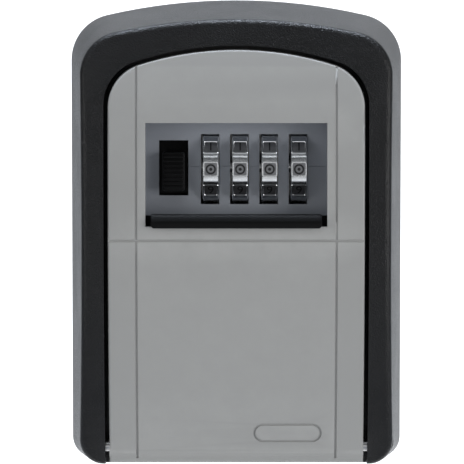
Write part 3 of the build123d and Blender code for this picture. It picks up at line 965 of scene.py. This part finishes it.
def screw_mesh():
    """A pan-head screw of head radius 1, facing -Y with its seat at the origin, with a cross recess."""
    bm = bmesh.new()
    profile = [
        (0.48, 1.8), (0.48, 0.0), (0.98, 0.0), (1.0, -0.10), (0.97, -0.30), (0.80, -0.52), (0.45, -0.62),
    ]
    loop_rings(bm, [circle(radius, y, 40) for radius, y in profile])
    head = linked("screw_master", from_bmesh("screw", bm))
    cross = bmesh.new()
    for wide, high in ((0.11, 0.56), (0.56, 0.11)):
        place = Matrix.Translation((0, -0.75, 0)) @ Matrix.Diagonal((wide, 0.45, high, 1.0))
        bmesh.ops.create_cube(cross, size=2.0, matrix=place)
    cutter = linked("cross_cutter", from_bmesh("cross", cross))
    cut = head.modifiers.new("cross", "BOOLEAN")
    cut.object, cut.operation, cut.solver = cutter, "DIFFERENCE", "EXACT"
    cut.use_self = True
    applied(head)
    dropped(cutter)
    return head


class LOCKBOX_OT_fixings(bpy.types.Operator):
    """The screws in their holes, and the pins, rivet and axle with its clips"""

    bl_idname = "lock_box.fixings"
    bl_label = "Screws"

    def execute(self, context):
        screw = screw_mesh()
        for node in ("keeper_screws", "hook_screws", "guide_screws", "case_screws", "cover_screws"):
            self.set_screws(node, screw)
        dropped(screw)
        for node in ("hinge_pin", "slider_rivet", "lever_pivot", "axle_clips", "wheel_axle"):
            eased(node, 0.1 * MM)
        return {"FINISHED"}

    def set_screws(self, node, screw):
        """One screw on each solid's head, facing the way the CAD head faces."""
        places, radius, facing = screw_seats(node)
        mesh = bpy.data.meshes.new(node + "_piece")
        mesh.from_pydata(places, [], [])
        piece = linked(node + "_piece", mesh)
        turn = (0.0, 0.0, 0.0) if facing < 0 else (0.0, 0.0, math.pi)
        grown(piece, point_copies_tree, {
            "Screw": screw, "Size": radius, "Turn": turn, "Material": finish_named(slot_of(node)),
        })
        smoothed(piece.data)
        settled(piece, node)


def islands(node):
    """The vertex places of each separate solid in a node."""
    bm = bmesh.new()
    bm.from_mesh(NODES[node].data)
    bmesh.ops.remove_doubles(bm, verts=bm.verts, dist=WELD)
    left, found = set(bm.verts), []
    while left:
        queue = [left.pop()]
        group = list(queue)
        while queue:
            for edge in queue.pop().link_edges:
                for vert in edge.verts:
                    if vert in left:
                        left.remove(vert)
                        queue.append(vert)
                        group.append(vert)
        found.append([vert.co.copy() for vert in group])
    bm.free()
    return sorted(found, key=lambda places: (round(places[0].x, 4), round(places[0].z, 4)))


def screw_seats(node):
    """Where each screw's head sits, the head's radius, and -1 or 1 for the way it faces along Y."""
    seats, radius, facing = [], 0.0, 1
    for places in islands(node):
        low = Vector([min(place[axis] for place in places) for axis in range(3)])
        high = Vector([max(place[axis] for place in places) for axis in range(3)])
        radius = (high.x - low.x) / 2
        wide = [place.y for place in places if abs(place.x - (low.x + high.x) / 2) > radius * 0.97]
        facing = -1 if min(wide) < (low.y + high.y) / 2 else 1
        seat = max(wide) if facing < 0 else min(wide)
        seats.append(((low.x + high.x) / 2, seat, (low.z + high.z) / 2))
    return seats, radius, facing


class LOCKBOX_OT_works(bpy.types.Operator):
    """The lock works behind the door and the fittings inside the housing"""

    bl_idname = "lock_box.works"
    bl_label = "Lock works"

    def execute(self, context):
        carried("key_hook")
        for node in ("lock_case", "rear_cover", "latch_plate", "change_lever", "keeper", "detent_springs"):
            eased(node, flat=True)
        for n in WHEELS:
            eased(f"code_disc_{n}")
        self.spring()
        return {"FINISHED"}

    def spring(self):
        """The latch spring, wound from wire."""
        low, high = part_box("latch_spring")
        wire = 0.28 * MM
        tall = high.z - low.z
        piece = linked("latch_spring_piece", bpy.data.meshes.new("latch_spring_piece"))
        grown(piece, coil_tree, {
            "Turns": sizes().spring_turns, "Radius": (high.x - low.x) / 2 - wire,
            "Height": tall - 2 * wire, "Wire Radius": wire, "Material": finish_named("steel"),
            "Foot": ((low.x + high.x) / 2, (low.y + high.y) / 2, low.z + wire),
        })
        smoothed(piece.data, math.radians(60))
        settled(piece, "latch_spring")
        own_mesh(piece)


# ---------------------------------------------------------------- stage


CAMERA_TARGET = Vector((0.0, -0.018, 0.0))
CAMERA_DISTANCE = 1.0575
CAMERA_LIFT = math.radians(5.75)
CAMERA_LENS = 324.3
CAMERA_SHIFT = (-0.0093, 0.0097)
FLOOR_HEIGHT = -0.125
SWEEP_BACK, SWEEP_BEND, SWEEP_FRONT, SWEEP_HALF, SWEEP_TOP = 0.34, 0.26, -0.9, 0.75, 1.1
SWEEP_BEND_START = SWEEP_BACK - SWEEP_BEND
GLOW_SHIFT = 0.010
GLOW_FLOOR, GLOW_ASIDE, GLOW_RISE = (-0.09, 0.0), (0.125, 0.084), (0.16, 0.06)  # where dark, where lit


def mixed_shader(tree, factor, first, second, end):
    """Ends a tree in one shader where factor is 0 and another where it is 1."""
    mix = placed(tree, "ShaderNodeMixShader", {0: factor, 1: first.outputs[0], 2: second.outputs[0]})
    tree.links.new(mix.outputs[0], tree.nodes[end].inputs["Surface"])


def camera_ray(tree):
    return placed(tree, "ShaderNodeLightPath").outputs["Is Camera Ray"]


def sweep_paper():
    """Pale paper whose middle glows behind the box, and which can be seen through from behind."""
    material, tree, shader = surface("sweep_paper", 0.9)
    shader.inputs["Base Color"].default_value = (0.36, 0.36, 0.36, 1.0)
    shader.inputs["Emission Strength"].default_value = 1.0
    parts = placed(tree, "ShaderNodeSeparateXYZ", {0: object_place(tree)}).outputs
    aside = math_node(tree, "ABSOLUTE", math_node(tree, "SUBTRACT", parts["X"], GLOW_SHIFT))
    glow = 1.0
    for reach, (dark, lit) in ((parts["Y"], GLOW_FLOOR), (aside, GLOW_ASIDE), (parts["Z"], GLOW_RISE)):
        ramp = placed(tree, "ShaderNodeMapRange", {"From Min": dark, "From Max": lit, "Value": reach})
        glow = math_node(tree, "MULTIPLY", ramp.outputs["Result"], glow)
    tree.links.new(
        math_node(tree, "MAXIMUM", glow, camera_ray(tree)), shader.inputs["Emission Color"])
    clear = placed(tree, "ShaderNodeBsdfTransparent")
    behind = placed(tree, "ShaderNodeNewGeometry").outputs["Backfacing"]
    mixed_shader(tree, behind, shader, clear, "Material Output")
    return material


def studio_world():
    """Dim air for the light, and a pale surround where the camera looks past the paper."""
    world = bpy.data.worlds.new("studio_air")
    world.use_nodes = True
    tree = world.node_tree
    air = tree.nodes["Background"]
    air.inputs["Color"].default_value = (0.90, 0.95, 1.0, 1.0)
    air.inputs["Strength"].default_value = 0.12
    pale = placed(tree, "ShaderNodeBackground", {"Strength": 1.0})
    mixed_shader(tree, camera_ray(tree), air, pale, "World Output")
    return world


def area_light(name, place, target, size, power, colour=(1.0, 1.0, 1.0)):
    data = bpy.data.lights.new(name, "AREA")
    data.shape, data.size, data.size_y = "RECTANGLE", size[0], size[1]
    data.energy, data.color = power, colour
    lamp = linked(name, data)
    lamp.location = place
    lamp.rotation_euler = (Vector(target) - Vector(place)).to_track_quat("-Z", "Y").to_euler()


class LOCKBOX_OT_stage(bpy.types.Operator):
    """A plain pale sweep, soft studio light and the camera"""

    bl_idname = "lock_box.stage"
    bl_label = "Stage"

    def execute(self, context):
        self.sweep()
        self.lights()
        self.camera(context)
        return {"FINISHED"}

    def sweep(self):
        """A floor that curves up into a wall behind the box."""
        bm = bmesh.new()
        line = [(SWEEP_FRONT, FLOOR_HEIGHT), (SWEEP_BEND_START, FLOOR_HEIGHT)]
        for step in range(1, 13):
            turn = math.pi / 2 * step / 12
            back, rise = SWEEP_BEND * math.sin(turn), SWEEP_BEND * (1 - math.cos(turn))
            line.append((SWEEP_BEND_START + back, FLOOR_HEIGHT + rise))
        line.append((SWEEP_BACK, SWEEP_TOP))
        rows = [[bm.verts.new((x, y, z)) for y, z in line] for x in (-SWEEP_HALF, SWEEP_HALF)]
        for k in range(len(line) - 1):
            bm.faces.new((rows[1][k], rows[1][k + 1], rows[0][k + 1], rows[0][k]))
        mesh = mesh_of("studio_sweep", bm)
        mesh.shade_smooth()
        piece = linked("studio_sweep", mesh)
        piece.data.materials.append(sweep_paper())

    def lights(self):
        aim = (0.0, -0.03, 0.0)
        area_light("left", (-0.72, -0.55, 0.14), aim, (0.5, 0.5), 2.3)
        area_light("right", (0.80, -0.58, 0.06), aim, (0.5, 0.5), 5.5)
        area_light("high", (0.0, -0.56, 0.52), aim, (0.6, 0.10), 0.50, (0.92, 0.96, 1.0))
        area_light("top", (0.0, 0.03, 0.70), aim, (0.3, 0.12), 7.4, (0.80, 0.88, 1.0))
        area_light("front_low", (0.0, -0.75, -0.05), aim, (0.9, 0.08), 0.24)
        area_light("floor_strip", (0.0, -0.28, -0.11), aim, (0.5, 0.12), 0.12)
        bpy.context.scene.world = studio_world()
        bpy.context.scene.view_settings.view_transform = "Standard"

    def camera(self, context):
        data = bpy.data.cameras.new("front_camera")
        data.lens, data.sensor_width = CAMERA_LENS, 36.0
        data.shift_x, data.shift_y = CAMERA_SHIFT
        data.clip_start, data.clip_end = 0.05, 20.0
        eye = CAMERA_TARGET + CAMERA_DISTANCE * Vector((0, -math.cos(CAMERA_LIFT), math.sin(CAMERA_LIFT)))
        camera = linked("front_camera", data)
        camera.location = eye
        camera.rotation_euler = (CAMERA_TARGET - eye).to_track_quat("-Z", "Y").to_euler()
        context.scene.camera = camera


# ---------------------------------------------------------------- add-on


PIECE_OPERATORS = (
    LOCKBOX_OT_housing,
    LOCKBOX_OT_door,
    LOCKBOX_OT_dial,
    LOCKBOX_OT_wheels,
    LOCKBOX_OT_slide,
    LOCKBOX_OT_shutter,
    LOCKBOX_OT_fixings,
    LOCKBOX_OT_works,
    LOCKBOX_OT_stage,
)


class LOCKBOX_PT_panel(bpy.types.Panel):
    """Sizes, colours and build steps of the lock box"""

    bl_idname = "LOCKBOX_PT_panel"
    bl_label = "Lock Box"
    bl_space_type = "VIEW_3D"
    bl_region_type = "UI"
    bl_category = "Lock Box"

    def draw(self, context):
        for settings in (context.scene.lock_box_sizes, context.scene.lock_box_colours):
            box = self.layout.box()
            for name in settings.__annotations__:
                box.prop(settings, name)
        for operator in PIECE_OPERATORS:
            self.layout.operator(operator.bl_idname)


CLASSES = (LockBoxSizes, LockBoxColours, *PIECE_OPERATORS, LOCKBOX_PT_panel)


def register():
    for cls in CLASSES:
        bpy.utils.register_class(cls)
    bpy.types.Scene.lock_box_sizes = PointerProperty(type=LockBoxSizes)
    bpy.types.Scene.lock_box_colours = PointerProperty(type=LockBoxColours)


def unregister():
    del bpy.types.Scene.lock_box_colours
    del bpy.types.Scene.lock_box_sizes
    for cls in reversed(CLASSES):
        bpy.utils.unregister_class(cls)


def main():
    register()
    for operator in PIECE_OPERATORS:
        getattr(bpy.ops.lock_box, operator.bl_idname.partition(".")[2])()


if __name__ == "__main__":
    main()
